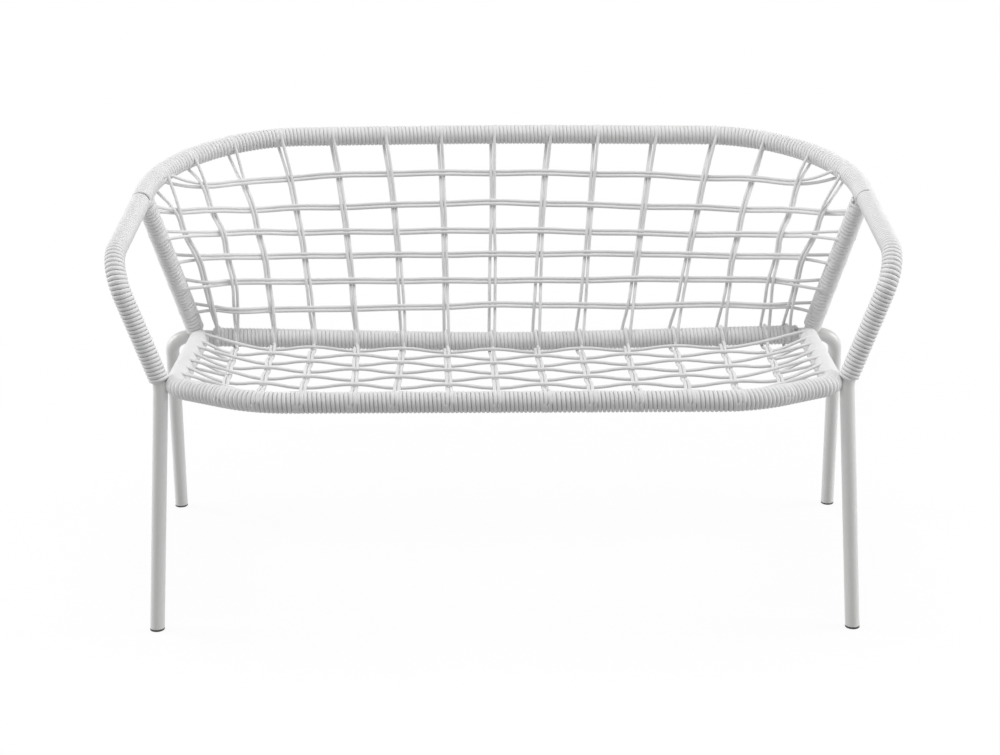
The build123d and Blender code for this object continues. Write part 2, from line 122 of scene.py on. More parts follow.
def top_line():
    """Top rail: from the end of the left armrest's winding round the back to the right one."""
    elbow, seam = on_arm_loop(elbow_x, 0), on_arm_loop(seam_x, seam_depth)
    corner = elbow + (seam - elbow) * (loop_corner_depth / seam_depth)
    return [mirrored(seam), mirrored(corner), on_arm_loop(0, loop_depth), corner, seam]


def rear_line():
    """Rear seat rail with both rear legs."""
    return [mirrored(rear_foot), mirrored(rear_corner), rear_middle, rear_corner, rear_foot]


def upright_line(sign):
    """Upright: from the rear seat rail to the seam."""
    corner = rear_corner if sign > 0 else mirrored(rear_corner)
    foot = rear_middle + (corner - rear_middle) * (upright_foot_x / rear_corner_x)
    return [foot, on_arm_loop(sign * upright_top_x, upright_top_depth)]


def seat_line():
    """Seat tube: left side rail, front rail and right side rail."""
    rear = rear_middle + (rear_corner - rear_middle) * (side_rail_rear_x / rear_corner_x)
    half = [front_corner, side_rail_front, rear]
    return [mirrored(point) for point in half[::-1]] + half

# %% [markdown]
# ## Guide lines
#
# A winding is easiest to make straight and then bend along its tube. A Bezier curve serves as the
# guide: each straight run is a pair of points, and each bend of the tube is a circular arc between
# two points whose handles have the length that makes a Bezier arc round.

# %% Draw a guide line
def deselect_all():
    if bpy.context.object and bpy.context.object.mode != "OBJECT":
        bpy.ops.object.mode_set(mode="OBJECT")
    bpy.ops.object.select_all(action="DESELECT")


def guide_line(name, points, bends):
    """Draw straight runs joined by round bends, as the tube was bent."""
    knots = [(points[0], None, None)]
    for before, corner, after, bend in zip(points, points[1:], points[2:], bends):
        into, away = (corner - before).normalized(), (after - corner).normalized()
        turn = into.angle(away)
        reach, handle = bend * tan(turn / 2), bend * 4 / 3 * tan(turn / 4)
        knots.append((corner - into * reach, None, into * handle))
        knots.append((corner + away * reach, away * -handle, None))
    knots.append((points[-1], None, None))
    deselect_all()
    bpy.ops.curve.primitive_bezier_curve_add()
    line = bpy.context.object
    line.name = name
    line.data.resolution_u = 48
    knot_line = line.data.splines[0].bezier_points
    knot_line.add(len(knots) - 2)
    for knot, (place, back, forth) in zip(knot_line, knots):
        knot.handle_left_type = "FREE" if back else "VECTOR"
        knot.handle_right_type = "FREE" if forth else "VECTOR"
        knot.co = place
        knot.handle_left, knot.handle_right = place + (back or Vector()), place + (forth or Vector())
    return line


def walk(line):
    """List the points of a guide line with their distance from its start."""
    shape = line.to_mesh()
    places = [vertex.co.copy() for vertex in shape.vertices]
    line.to_mesh_clear()
    distances = [0.0]
    for before, after in zip(places, places[1:]):
        distances.append(distances[-1] + (after - before).length)
    return places, distances


class Rail:
    """A guide line that tells its places and directions."""

    def __init__(self, name, points, bends):
        self.line = guide_line(name, points, bends)
        self.places, self.distances = walk(self.line)
        self.length = self.distances[-1]

    def step(self, distance):
        index = 0
        while index < len(self.distances) - 2 and self.distances[index + 1] < distance:
            index += 1
        return index

    def place(self, distance):
        index = self.step(distance)
        start, end = self.distances[index], self.distances[index + 1]
        return self.places[index].lerp(self.places[index + 1], (distance - start) / (end - start))

    def way(self, distance):
        index = self.step(distance)
        return (self.places[index + 1] - self.places[index]).normalized()

    def distance_at_x(self, x):
        """Return how far along a rail it passes x; the rail runs from left to right."""
        for index, (before, after) in enumerate(zip(self.places, self.places[1:])):
            if before.x <= x < after.x:
                share = (x - before.x) / (after.x - before.x)
                return self.distances[index] + share * (after - before).length


top_rail = Rail("top_guide", top_line(), top_bends)
rear_rail = Rail("rear_guide", rear_line(), rear_bends)
seat_rail = Rail("seat_guide", seat_line(), seat_bends)
arms = {sign: Rail(f"arm_guide_{sign}", arm_line(sign), arm_bends) for sign in (-1, 1)}
uprights = {sign: Rail(f"upright_guide_{sign}", upright_line(sign), []) for sign in (-1, 1)}
print("top rail", round(top_rail.length, 3), "seat rail", round(seat_rail.length, 3))

# %% [markdown]
# ## Where the net is tied
#
# Fifteen doubled cords hang from the top rail to the rear seat rail, and thirteen of them go on
# along the seat and over the front rail. Six doubled cords cross the back between the uprights,
# and seven single cords cross the seat between the side rails. The net was tied by hand, so the
# spaces differ a little, and the numbers are listed one by one. The pulls say how far a hanging
# cord is drawn aside and forwards, the droops how far a cross cord hangs under its own plane, and
# the slips how far a hitch has slid down its upright.

# %% Places of the cords
top_places = (-0.706, -0.611, -0.517, -0.421, -0.322, -0.223, -0.119, -0.019,
              0.087, 0.176, 0.285, 0.398, 0.494, 0.597, 0.696)
rear_places = (-0.936, -0.875, -0.751, -0.621, -0.481, -0.329, -0.187, -0.039,
               0.106, 0.248, 0.399, 0.554, 0.711, 0.854, 0.925)
front_places = (None, -0.457, -0.396, -0.328, -0.242, -0.175, -0.087, -0.010,
                0.071, 0.144, 0.218, 0.302, 0.380, 0.457, None)
inward_pull = (0.024, 0.033, 0.021, 0.012, 0.007, 0.007, 0.003, 0.001,
               0.004, 0, 0.001, 0.005, 0.015, 0.024, 0.027)
upper_pull = (0.030, 0.018, 0.012, 0.006, 0.003, 0.001, 0, 0, 0, 0.001, 0.003, 0.006, 0.012, 0.018, 0.030)
lower_pull = (0.010, 0.030, 0.017, 0.006, 0.003, 0.001, 0, 0, 0, 0.001, 0.003, 0.006, 0.017, 0.030, 0.010)
row_droops = (            # how far each row hangs below its plane, in millimetres, column by column
    (0, 27, 20, 11, 5, 2.5, 2, 2, 2.5, 5, 7, 14, 16.5, 27, 0),
    (15, 13.5, 12, 7.5, 6.5, 3.5, 0.5, -1.5, 1, 4.5, 8, 10.5, 14.5, 18, 21),
    (4.5, 3.5, 2, 3, 2, 2, 1, 0.5, 1.5, 4, 7, 9.5, 11, 10, 10),
    (3.5, 2, 2, 2, 1, 1, 0.5, 0, 0, 0, 0, 3.5, 5, 6, 6.5),
    (1, 0, 0, 0, 0, 0, 0, 0, 0, 0, -1.5, -1.5, 0, 0.5, 3),
    (1.5, 4, 3, 3.5, 2, 1, -0.5, -4.5, -3.5, -1.5, 0, -1.5, -3.5, -1, 0.5))
pair_widths = (           # from leg to leg at rows 4, 5 and 6 and at the rear rail, in millimetres
    (6.4, 6.4, 6.4, 8), (6.4, 7.2, 8, 9.5), (6.4, 6.4, 6.4, 8), (6.4, 6.4, 8, 9.5),
    (6.4, 6.4, 6.4, 8), (6.4, 8, 9.5, 10.5), (6.4, 6.4, 7.5, 10.5), (10.5, 10.5, 10.5, 10.5),
    (8, 9.6, 11, 12), (7, 8.5, 11, 12), (6.4, 7.5, 9, 13), (6.4, 9, 9, 13),
    (6.4, 6.4, 9, 12.5), (6.4, 9.5, 12, 10), (6.4, 6.4, 6.4, 8))
row_places = (0.18, 0.33, 0.46, 0.575, 0.70, 0.825)
seat_row_places = (0.10, 0.235, 0.37, 0.50, 0.635, 0.765, 0.90)
upright_slips = {-1: (-0.026, 0.007, 0.005, 0, 0), 1: (-0.006, 0.014, 0.014, 0.0105, 0.006)}
seat_sag = 0.0035
seat_drop = 0.006                # the seat lies this much under its rear rail and over its front rail
row_tilt = 0.24                  # a cross cord's plane rises by this share towards the front
first_row_drop = 0.042           # the first cross cord stays this far from the top rail
highest_hook, hook_spacing = 0.13, 0.019         # share of an upright, and metres from row to row

columns = range(len(top_places))
seat_columns = columns[1:-1]
rows = range(len(row_places))
seat_rows = range(len(seat_row_places))

loop_radius = 0.0165             # from a tube's middle to the hanging cords in front of it
rail_loop_radius = 0.0152        # to the middle of a cord that lies between a rail's turns
upright_loop_radius = 0.0146
half_pair, half_pitch = 0.0032, cord_pitch / 2
half_row_hitch = 0.007
up, forwards = Vector((0, 0, 1)), Vector((0, -1, 0))

top_hitches = [top_rail.length / 2 + place for place in top_places]
rear_hitches = [rear_rail.distance_at_x(place * upright_foot_x) for place in rear_places]
front_hitches = {column: seat_rail.distance_at_x(front_places[column]) for column in seat_columns}
print("cords over the top rail:", len(top_hitches), "over the front rail:", len(front_hitches))


# %% Places of the crossings in the back
def square_to(direction, axis):
    """Return the unit part of a direction that is square to an axis."""
    unit = axis.normalized()
    return (direction - unit * direction.dot(unit)).normalized()


def on_column(column, share):
    """Return a point of a hanging cord; the cross cords pull it inwards and forwards."""
    start = top_rail.place(top_hitches[column])
    end = rear_rail.place(rear_hitches[column]) + forwards * loop_radius
    forward_pull = upper_pull[column] * (1 - share) + lower_pull[column] * share
    inwards = -inward_pull[column] if start.x > 0 else inward_pull[column]
    return start.lerp(end, share) + Vector((inwards, -forward_pull, 0)) * (4 * share * (1 - share))


row_centres = [on_column(7, share) for share in row_places]


def share_at_row(route, row, droop=0.0):
    """Return the share of a falling route at which it meets a cross cord's sloping plane."""
    low, high = 0.0, 1.0
    for _ in range(30):
        middle = (low + high) / 2
        point = route(middle)
        above = point.z > row_centres[row].z - droop + row_tilt * (row_centres[row].y - point.y)
        low, high = (middle, high) if above else (low, middle)
    return low


def back_crossing(row, column):
    share = share_at_row(lambda share: on_column(column, share), row, row_droops[row][column] / 1000)
    hanging = (rear_rail.place(rear_hitches[column]) - top_rail.place(top_hitches[column])).length
    return on_column(column, max(share, first_row_drop / hanging))


crossings = [[back_crossing(row, column) for column in columns] for row in rows]
print("crossings in the back:", len(rows) * len(columns))

# %% [markdown]
# ## Windings
#
# A winding is one long cord laid turn beside turn round its tube. A real one has hundreds of
# turns, so nobody would place them by hand. Here the cord's cross-section is drawn once, the
# Screw modifier turns it into a straight spring, and the Curve modifier bends the spring along
# the tube. The section is a little flattened, because the turns press against each other. The
# arms are wound closer than the rails and as a left-handed screw, and the turns of the arms and of
# the seat's tube lie a little apart. The net's cords lie between the turns, so each winding is a
# row of springs with gaps for them.

# %% One winding from its stretches
section_points = 10
steps_per_turn = 22
loose, tight = 0.94, 1.0         # width of the wound cord in one turn's room


def modify(piece, kind, **settings):
    """Add a modifier, set it and apply it."""
    deselect_all()
    bpy.context.view_layer.objects.active = piece
    piece.select_set(True)
    bpy.ops.object.modifier_add(type=kind)
    modifier = piece.modifiers[-1]
    for key, value in settings.items():
        setattr(modifier, key, value)
    bpy.ops.object.modifier_apply(modifier=modifier.name)


def spring(start, end, thickness, wanted_pitch, hand, squeeze):
    """Wind a straight spring along +X: hand is 1 for a right-handed one and -1 for a left-handed one."""
    turns = max(1, round((end - start) / wanted_pitch))
    pitch = (end - start) / turns
    deselect_all()
    bpy.ops.mesh.primitive_circle_add(vertices=section_points, radius=0.5, location=(0, 0, 0))
    piece = bpy.context.object
    bpy.ops.object.mode_set(mode="EDIT")
    bpy.ops.mesh.select_all(action="SELECT")
    bpy.ops.transform.resize(value=(pitch * squeeze, thickness, 1))
    bpy.ops.transform.translate(value=(start, tube_radius + thickness / 2, 0))
    bpy.ops.transform.rotate(value=pi, orient_axis="X", center_override=(0, 0, 0))
    bpy.ops.object.mode_set(mode="OBJECT")
    modify(piece, "SCREW", axis="X", angle=2 * pi * hand, screw_offset=pitch, iterations=turns,
           steps=steps_per_turn, render_steps=steps_per_turn, use_merge_vertices=False,
           use_smooth_shade=True, use_normal_calculate=False)
    bpy.ops.object.mode_set(mode="EDIT")
    bpy.ops.mesh.select_all(action="SELECT")
    bpy.ops.mesh.fill_holes(sides=section_points)
    bpy.ops.mesh.normals_make_consistent(inside=False)
    bpy.ops.object.mode_set(mode="OBJECT")
    return piece, turns


def join(pieces, name):
    """Join pieces into one and name it."""
    deselect_all()
    for piece in pieces:
        piece.select_set(True)
    bpy.context.view_layer.objects.active = pieces[0]
    bpy.ops.object.join()
    pieces[0].name = pieces[0].data.name = name
    return pieces[0]


def free_stretches(start, end, cords):
    """Return the stretches of a rail between the cords that are laid round it."""
    stretches, here = [], start
    for middle in sorted(cords):
        stretches.append((here, middle - cord_radius + half_pitch))
        here = middle + cord_radius - half_pitch
    stretches.append((here, end))
    return [(a, b) for a, b in stretches if b - a > cord_pitch]


def winding(name, rail, start, end, cords, thickness, node, pitch=cord_pitch, hand=1, squeeze=tight):
    """Wind a rail from start to end, leave room for the net's cords and stand for its node."""
    springs = [spring(a, b, thickness, pitch, hand, squeeze) for a, b in free_stretches(start, end, cords)]
    piece = join([spring_piece for spring_piece, turns in springs], name)
    modify(piece, "CURVE", object=rail.line, deform_axis="POS_X")
    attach(piece, "root")
    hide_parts(node)
    print(name, sum(turns for spring_piece, turns in springs), "turns,", len(piece.data.polygons), "faces")
    return piece


# %% Wind the arms, the rails and the uprights
def upright_hook(row, sign):
    """Return how far along an upright a cross cord is hitched."""
    rail = uprights[sign]
    top, foot = rail.places[-1], rail.places[0]
    share = share_at_row(lambda share: top.lerp(foot, share), row)
    share = max(share, highest_hook + (row - 1) * hook_spacing / rail.length)
    return rail.length * (1 - share) - upright_slips[sign][row - 1]


row_hitches = {(row, sign): upright_hook(row, sign) for row in rows[1:] for sign in (-1, 1)}
corner_hitches = {-1: top_hitches[0], 1: top_hitches[-1]}
top_halves = [3 * half_pitch] + [half_pitch] * 13 + [3 * half_pitch]


def split(hitches, half=half_pitch):
    """Return the places of both legs of every hitch."""
    return [hitch + side * half for hitch in hitches for side in (-1, 1)]


windings = []
arm_start = -0.007               # an arm's winding starts this far below its line
upright_bare_foot, upright_bare_top, seat_tube_bare = 0.020, 0.017, 0.019
wound_to_x = 0.546               # how far out the rear rail is wound
names = {-1: "left", 1: "right"}
for sign, side_name in names.items():
    windings.append(winding(f"wound_arm_{side_name}", arms[sign], arm_start, arms[sign].length, [],
                            arm_cord_thickness, f"arm_winding_{side_name}", arm_cord_pitch, -1, loose))
    hitches = [row_hitches[row, sign] for row in rows[1:]]
    cords = split(hitches[:1], half_row_hitch) + split(hitches[1:])
    windings.append(winding(f"wound_upright_{side_name}", uprights[sign], upright_bare_foot,
                            uprights[sign].length - upright_bare_top, cords,
                            arm_cord_thickness, f"upright_winding_{side_name}"))

windings.append(winding("wound_top_rail", top_rail, seam_gap, top_rail.length - seam_gap,
                        split(top_hitches) + split(corner_hitches.values(), 3 * half_pitch),
                        rail_cord_thickness, "top_rail_winding"))
rear_start, rear_end = (rear_rail.distance_at_x(sign * wound_to_x) for sign in (-1, 1))
right_legs = [hitch + widths[-1] / 2000 for hitch, widths in zip(rear_hitches, pair_widths)]
windings.append(winding("wound_rear_rail", rear_rail, rear_start, rear_end, right_legs,
                        rail_cord_thickness, "rear_rail_winding"))

side_rail_rear = seat_rail.places[0]
side_length = (mirrored(side_rail_front) - side_rail_rear).length
side_hitches = [side_length * share for share in seat_row_places]
side_hitches += [seat_rail.length - hitch for hitch in side_hitches]
windings.append(winding("wound_seat_rail", seat_rail, seat_tube_bare, seat_rail.length - seat_tube_bare,
                        split(front_hitches.values(), half_pitch) + side_hitches,
                        rail_cord_thickness, "seat_rail_winding", squeeze=loose))

# %% [markdown]
# ## Net cords
#
# The cords of the net are soft, round and a little slack, so each is a smooth curve with a round
# bevel, and not a bent wire. A NURBS spline of order 3 passes near its control points in one
# flowing line, which is how a tensioned cord runs over and under the cords that it meets. It only
# goes half as far out as its points do, so at each crossing the points stand twice as far out as
# the cord itself. Round a tube the points stand close together, so that the cord lies snugly
# against it, like one more turn of the winding. The seat's cross cords have no loop at their
# ends: each end goes round its side rail and is tucked in under the seat.

# %% Draw one cord
def cord_curve(name, points, closed=False):
    """Draw a round cord along a smooth line and turn it into a mesh."""
    deselect_all()
    bpy.ops.curve.primitive_nurbs_path_add()
    piece = bpy.context.object
    piece.name = name
    spline = piece.data.splines[0]
    spline.points.add(len(points) - len(spline.points))
    for knot, place in zip(spline.points, points):
        knot.co = (*place, 1)
    spline.use_endpoint_u = not closed
    spline.use_cyclic_u = closed
    spline.order_u = 3
    spline.resolution_u = 5
    piece.data.bevel_depth = cord_radius
    piece.data.bevel_resolution = 2
    piece.data.use_fill_caps = not closed
    piece.data.twist_mode = "MINIMUM"
    bpy.ops.object.convert(target="MESH")
    bpy.ops.object.mode_set(mode="EDIT")
    bpy.ops.mesh.select_all(action="SELECT")
    bpy.ops.mesh.remove_doubles(threshold=1e-6)
    bpy.ops.mesh.normals_make_consistent(inside=False)
    bpy.ops.object.mode_set(mode="OBJECT")
    bpy.ops.object.shade_smooth()
    return bpy.context.object


def net_piece(piece, *node_names):
    """Attach a finished cord to the bench, hide the parts it replaces and list it."""
    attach(piece, "root")
    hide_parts(*node_names)
    net_cords.append(piece)


net_cords = []
half_weave = 0.0068              # how far a control point stands out at a crossing
outer_half_weave = 0.0085
step_round = pi / 4              # from one control point to the next round a tube
over_turns = tube_radius + rail_cord_thickness + cord_radius    # to a cord that lies on the turns
long_run, side_run, top_run = 0.010, 0.008, 0.006    # straight runs where a cord leaves a tube
hitch_lift = 0.006               # how far a wide hitch rises over what lies between its turns
rear_lift, rear_slant = 0.003, 0.0010            # of the leg that comes over the rear rail


def wrap(rail_place, along, side, away, slides, radius=rail_loop_radius):
    """Return points round a tube: the cord touches it at side and goes towards away.

    Slides are the distances along the tube, one for each eighth of a turn."""
    points = []
    for index, slide in enumerate(slides):
        angle = (index + 0.5) * step_round
        reach = radius / cos(step_round / 2)
        points.append(rail_place + (side * cos(angle) + away * sin(angle)) * reach + along * slide)
    return points


def hitch_points(centre, along, side, away, half, radius):
    """Return one and a half turns that start at one leg's place and end at the other's.

    The cord crosses from the first turn to the second at the far side, over what lies between."""
    lift = hitch_lift if abs(half) > half_pitch else 0
    points = wrap(centre, along, side, away, [half] * 3 + [0.5 * half, -0.5 * half] + [-half] * 7, radius)
    for index in (3, 4):
        points[index] += square_to(points[index] - centre, along) * lift
    return points


def slide_evenly(start, end, eighths):
    """Return slides that go evenly from start to end."""
    return [start + (end - start) * (index + 0.5) / eighths for index in range(eighths)]


# %% Directions in the back net
def net_frame(row, column):
    """Return the ways across, down and out of the back net at a crossing."""
    rightwards = crossings[row][min(column + 1, columns[-1])] - crossings[row][max(column - 1, 0)]
    downwards = crossings[min(row + 1, rows[-1])][column] - crossings[max(row - 1, 0)][column]
    out = downwards.cross(rightwards).normalized()
    return square_to(rightwards, downwards), square_to(downwards, rightwards), out


def long_cord_lift(row, column):
    """Return how far a hanging cord's point stands out where it meets a cross cord."""
    lift = half_weave if column in seat_columns[1:-1] else outer_half_weave
    return lift if (row + column) % 2 else -lift


# %% Long cords, from the front rail to the top rail and back again
def seat_crossing(row, column):
    share = seat_row_places[row]
    start = rear_rail.place(rear_hitches[column])
    end = seat_rail.place(front_hitches[column])
    return start.lerp(end, share) + up * (seat_drop * (2 * share - 1) - seat_sag)


def seat_leg(column, side):
    """Return the way of one cord of a pair along the seat and round the front rail."""
    points = []
    for row in seat_rows:
        weave = -half_weave if (row + column) % 2 else half_weave
        points.append(seat_crossing(row, column) + Vector((side * half_pair, 0, weave)))
    hitch = front_hitches[column]
    centre, along = seat_rail.place(hitch), seat_rail.way(hitch)
    away = square_to(forwards, along)
    over = along.cross(away) * -1
    touch = centre + over * rail_loop_radius + along * (side * half_pitch)
    return points + [touch - away * long_run] + wrap(centre, along, over, away, [side * half_pitch] * 5)


def rear_turn(column, side):
    """Return how one leg passes the rear seat rail.

    The left leg goes behind the rail and under it. The right leg goes once round it and
    comes over the top, between the two, slanting down to the seat."""
    centre, along = rear_rail.place(rear_hitches[column]), rear_rail.way(rear_hitches[column])
    back = square_to(-forwards, along)
    rise = along.cross(back)
    half = pair_widths[column][-1] / 2000
    if side < 0:
        touch = centre + back * over_turns - along * half
        slides = slide_evenly(-half, -half_pair, 3)
        return [touch + rise * long_run] + wrap(centre, along, back, -rise, slides, over_turns)
    touch = centre - back * rail_loop_radius + along * half
    under = wrap(centre, along, -back, -rise, [half] * 4)
    behind = wrap(centre, along, back, rise, (half * 0.7, half * 0.1), rail_loop_radius + rear_lift)
    slides = (-rear_slant, rear_slant, half_pair)
    last = wrap(centre, along, rise, -back, slides, rail_loop_radius + 2 * rear_lift)
    return [touch + rise * long_run] + under + behind + last


def back_leg(column, side, facing, slide):
    """Return the way of one leg from the top rail down to the rear rail."""
    centre, along = top_rail.place(top_hitches[column]), top_rail.way(top_hitches[column])
    leave = square_to(crossings[1][column] - centre, along)
    touch = centre + facing * rail_loop_radius + along * slide
    points = [touch + leave * top_run]
    outermost = column in (columns[0], columns[-1])
    for row in rows[1:] if outermost else rows:
        across, down, out = net_frame(row, column)
        early = -half_pair if row == 0 else 0
        half = pair_widths[column][row - 3] / 2000 if row >= 3 else half_pair
        offset = across * (side * half) + down * early
        points.append(crossings[row][column] + offset + out * long_cord_lift(row, column))
    return points


def long_cord_points(column):
    """One doubled cord with its two legs."""
    centre, along = top_rail.place(top_hitches[column]), top_rail.way(top_hitches[column])
    leave = square_to(crossings[1][column] - centre, along)
    front = leave.cross(along)
    front_side = -1 if column in columns[-3:] else 1
    half = top_halves[column]
    legs = []
    for side, facing, slide in ((front_side, front, half), (-front_side, -front, -half)):
        leg = back_leg(column, side, facing, slide) + rear_turn(column, side)
        legs.append(leg + seat_leg(column, side) if column in seat_columns else leg)
    over = hitch_points(centre, along, front, -leave, half, rail_loop_radius)
    return legs[0][::-1] + over + legs[1]


for column in columns:
    replaced = [f"back_long_cord_{column + 1:02d}"]
    if column in seat_columns:
        replaced.append(f"seat_long_cords_{column + 1:02d}")
    net_piece(cord_curve(f"long_cord_{column + 1:02d}", long_cord_points(column)), *replaced)
print("long cords:", len(net_cords))


# %% Cross cords of the back
def row_hook(row, sign):
    """Return where a cross cord is hitched and the way of the tube there."""
    if row == 0:
        hitch = corner_hitches[sign]
        return top_rail.place(hitch), top_rail.way(hitch) * sign
    rail = uprights[sign]
    return rail.place(row_hitches[row, sign]), rail.way(0)


def cross_cord_points(row):
    """One doubled cord: a long closed loop round both tubes."""
    crossed = seat_columns if row == 0 else columns
    loops = {}
    for sign, first in ((-1, crossed[0]), (1, crossed[-1])):
        centre, along = row_hook(row, sign)
        leave = square_to(crossings[row][first] - centre, along)
        facing = along.cross(leave)
        if facing.dot(forwards + up) < 0:
            facing = -facing
        if row == 0:
            loops[sign] = hitch_points(centre, along, facing, -leave, half_pitch, rail_loop_radius)
        elif row == 1:
            loops[sign] = hitch_points(centre, along, facing, -leave, half_row_hitch, upright_loop_radius)
        else:
            loops[sign] = hitch_points(centre, along, facing, -leave, -half_pitch, upright_loop_radius)[::-1]
    strands = {}
    for side in (-1, 1):
        strands[side] = []
        for column in crossed:
            across, down, out = net_frame(row, column)
            early = {crossed[0]: -half_pair, crossed[-1]: half_pair}.get(column, 0)
            offset = down * (side * half_pair) + across * early
            strands[side].append(crossings[row][column] + offset - out * long_cord_lift(row, column))
    return loops[-1][::-1] + strands[-1] + loops[1] + strands[1][::-1]


for row in rows:
    piece = cord_curve(f"cross_cord_{row + 1}", cross_cord_points(row), True)
    net_piece(piece, f"back_cross_cord_{row + 1}")
print("with cross cords:", len(net_cords))


# %% Cross cords of the seat
def seat_cross_cord_points(row):
    """A single cord across the seat, round both side rails, with its ends tucked in under the seat."""
    ends = {}
    for sign in (-1, 1):
        hitch = side_length * seat_row_places[row]
        hitch = hitch if sign < 0 else seat_rail.length - hitch
        centre, along = seat_rail.place(hitch), seat_rail.way(hitch)
        away = square_to(Vector((sign, 0, 0)), along)
        over = square_to(up, along)
        touch = centre + over * rail_loop_radius
        round_rail = wrap(centre, along, over, away, [0.0] * 5)
        tucked_row = min(row + 2 - row % 2, seat_rows[-1])
        tuck = seat_crossing(tucked_row, seat_columns[0 if sign < 0 else -1]) - up * half_weave / 2
        under = round_rail[-1] - away * long_run
        ends[sign] = [touch - away * side_run] + round_rail + [under, under.lerp(tuck, 0.6), tuck]
    strand = []
    for column in seat_columns:
        weave = half_weave if (row + column) % 2 else -half_weave
        strand.append(seat_crossing(row, column) + up * weave)
    return ends[-1][::-1] + strand + ends[1]


singles = [cord_curve("seat_cord", seat_cross_cord_points(row)) for row in seat_rows]
net_piece(join(singles, "seat_cross_cords"), "seat_cross_cords")
print("net pieces:", len(net_cords))

# %% [markdown]
# ## Finishes
#
# The cord is white plastic with a faint grain, and its tone changes a little from place to place.
# The tubes are painted white and nearly smooth, and the feet are dark plastic. Each finish is a
# Principled shader whose colour, roughness and bump come from noise. The same grain group serves
# all three finishes, so it is built once.

# %% A node group for grain
def new_group(name, inputs, outputs):
    """Make a node group with named sockets and return its tree and its end nodes."""
    group = bpy.data.node_groups.new(name, "ShaderNodeTree")
    for socket, kind, value in inputs:
        made = group.interface.new_socket(socket, in_out="INPUT", socket_type=kind)
        made.default_value = value
    for socket, kind in outputs:
        group.interface.new_socket(socket, in_out="OUTPUT", socket_type=kind)
    return group, group.nodes.new("NodeGroupInput"), group.nodes.new("NodeGroupOutput")


def node(tree, kind, links=None, **values):
    """Add a node, set its fields and sockets and link its inputs."""
    made = tree.nodes.new(kind)
    for key, value in values.items():
        setattr(made, key, value)
    for socket, source in (links or {}).items():
        target = made.inputs[socket]
        if isinstance(source, bpy.types.NodeSocket):
            tree.links.new(source, target)
        else:
            target.default_value = source
    return made


grain, grain_in, grain_out = new_group(
    "surface_grain",
    [("Vector", "NodeSocketVector", (0, 0, 0)), ("Fine scale", "NodeSocketFloat", 900.0),
     ("Broad scale", "NodeSocketFloat", 12.0), ("Light colour", "NodeSocketColor", (0.8, 0.8, 0.8, 1)),
     ("Dark colour", "NodeSocketColor", (0.6, 0.6, 0.6, 1)), ("Smooth", "NodeSocketFloat", 0.4),
     ("Rough", "NodeSocketFloat", 0.6)],
    [("Colour", "NodeSocketColor"), ("Roughness", "NodeSocketFloat"), ("Height", "NodeSocketFloat")])
fine = node(grain, "ShaderNodeTexNoise", {"Vector": grain_in.outputs["Vector"],
            "Scale": grain_in.outputs["Fine scale"], "Detail": 3.0, "Roughness": 0.6})
broad = node(grain, "ShaderNodeTexNoise", {"Vector": grain_in.outputs["Vector"],
             "Scale": grain_in.outputs["Broad scale"], "Detail": 4.0, "Roughness": 0.55})
blend = node(grain, "ShaderNodeMath", {0: fine.outputs["Fac"], 1: broad.outputs["Fac"]}, operation="ADD")
share = node(grain, "ShaderNodeMapRange", {"Value": blend.outputs[0], "From Min": 0.7, "From Max": 1.3})
colour = node(grain, "ShaderNodeMix", {"Factor": share.outputs[0], "A": grain_in.outputs["Dark colour"],
              "B": grain_in.outputs["Light colour"]}, data_type="RGBA")
rough = node(grain, "ShaderNodeMapRange", {"Value": share.outputs[0],
             "To Min": grain_in.outputs["Smooth"], "To Max": grain_in.outputs["Rough"]})
grain.links.new(colour.outputs["Result"], grain_out.inputs["Colour"])
grain.links.new(rough.outputs[0], grain_out.inputs["Roughness"])
grain.links.new(fine.outputs["Fac"], grain_out.inputs["Height"])


# %% Make the finishes
def finish(name, bump_distance, bump_strength, sockets, **grain_values):
    """Make a material: a Principled shader fed by the grain group."""
    material = bpy.data.materials.new(name)
    material.use_nodes = True
    tree = material.node_tree
    shader = tree.nodes["Principled BSDF"]
    place = node(tree, "ShaderNodeTexCoord")
    detail = node(tree, "ShaderNodeGroup", node_tree=grain)
    tree.links.new(place.outputs["Object"], detail.inputs["Vector"])
    for key, value in grain_values.items():
        detail.inputs[key.replace("_", " ").capitalize()].default_value = value
    bump = node(tree, "ShaderNodeBump", {"Height": detail.outputs["Height"], "Distance": bump_distance,
                "Strength": bump_strength})
    tree.links.new(detail.outputs["Colour"], shader.inputs["Base Color"])
    tree.links.new(detail.outputs["Roughness"], shader.inputs["Roughness"])
    tree.links.new(bump.outputs[0], shader.inputs["Normal"])
    for socket, value in sockets.items():
        shader.inputs[socket].default_value = value
    return material


cord_finish = finish("white_cord_finish", 0.0003, 0.3, {"Specular IOR Level": 0.3},
                     fine_scale=1400.0, broad_scale=14.0, light_colour=(0.84, 0.84, 0.84, 1),
                     dark_colour=(0.78, 0.78, 0.78, 1), smooth=0.5, rough=0.7)
paint_finish = finish("white_paint_finish", 0.0002, 0.06, {"Coat Weight": 0.2, "Coat Roughness": 0.15},
                      fine_scale=260.0, broad_scale=9.0, light_colour=(0.82, 0.82, 0.81, 1),
                      dark_colour=(0.79, 0.79, 0.78, 1), smooth=0.32, rough=0.38)
glide_finish = finish("grey_plastic_finish", 0.0002, 0.4, {"Specular IOR Level": 0.4},
                      fine_scale=700.0, broad_scale=30.0, light_colour=(0.10, 0.10, 0.10, 1),
                      dark_colour=(0.06, 0.06, 0.065, 1), smooth=0.45, rough=0.6)

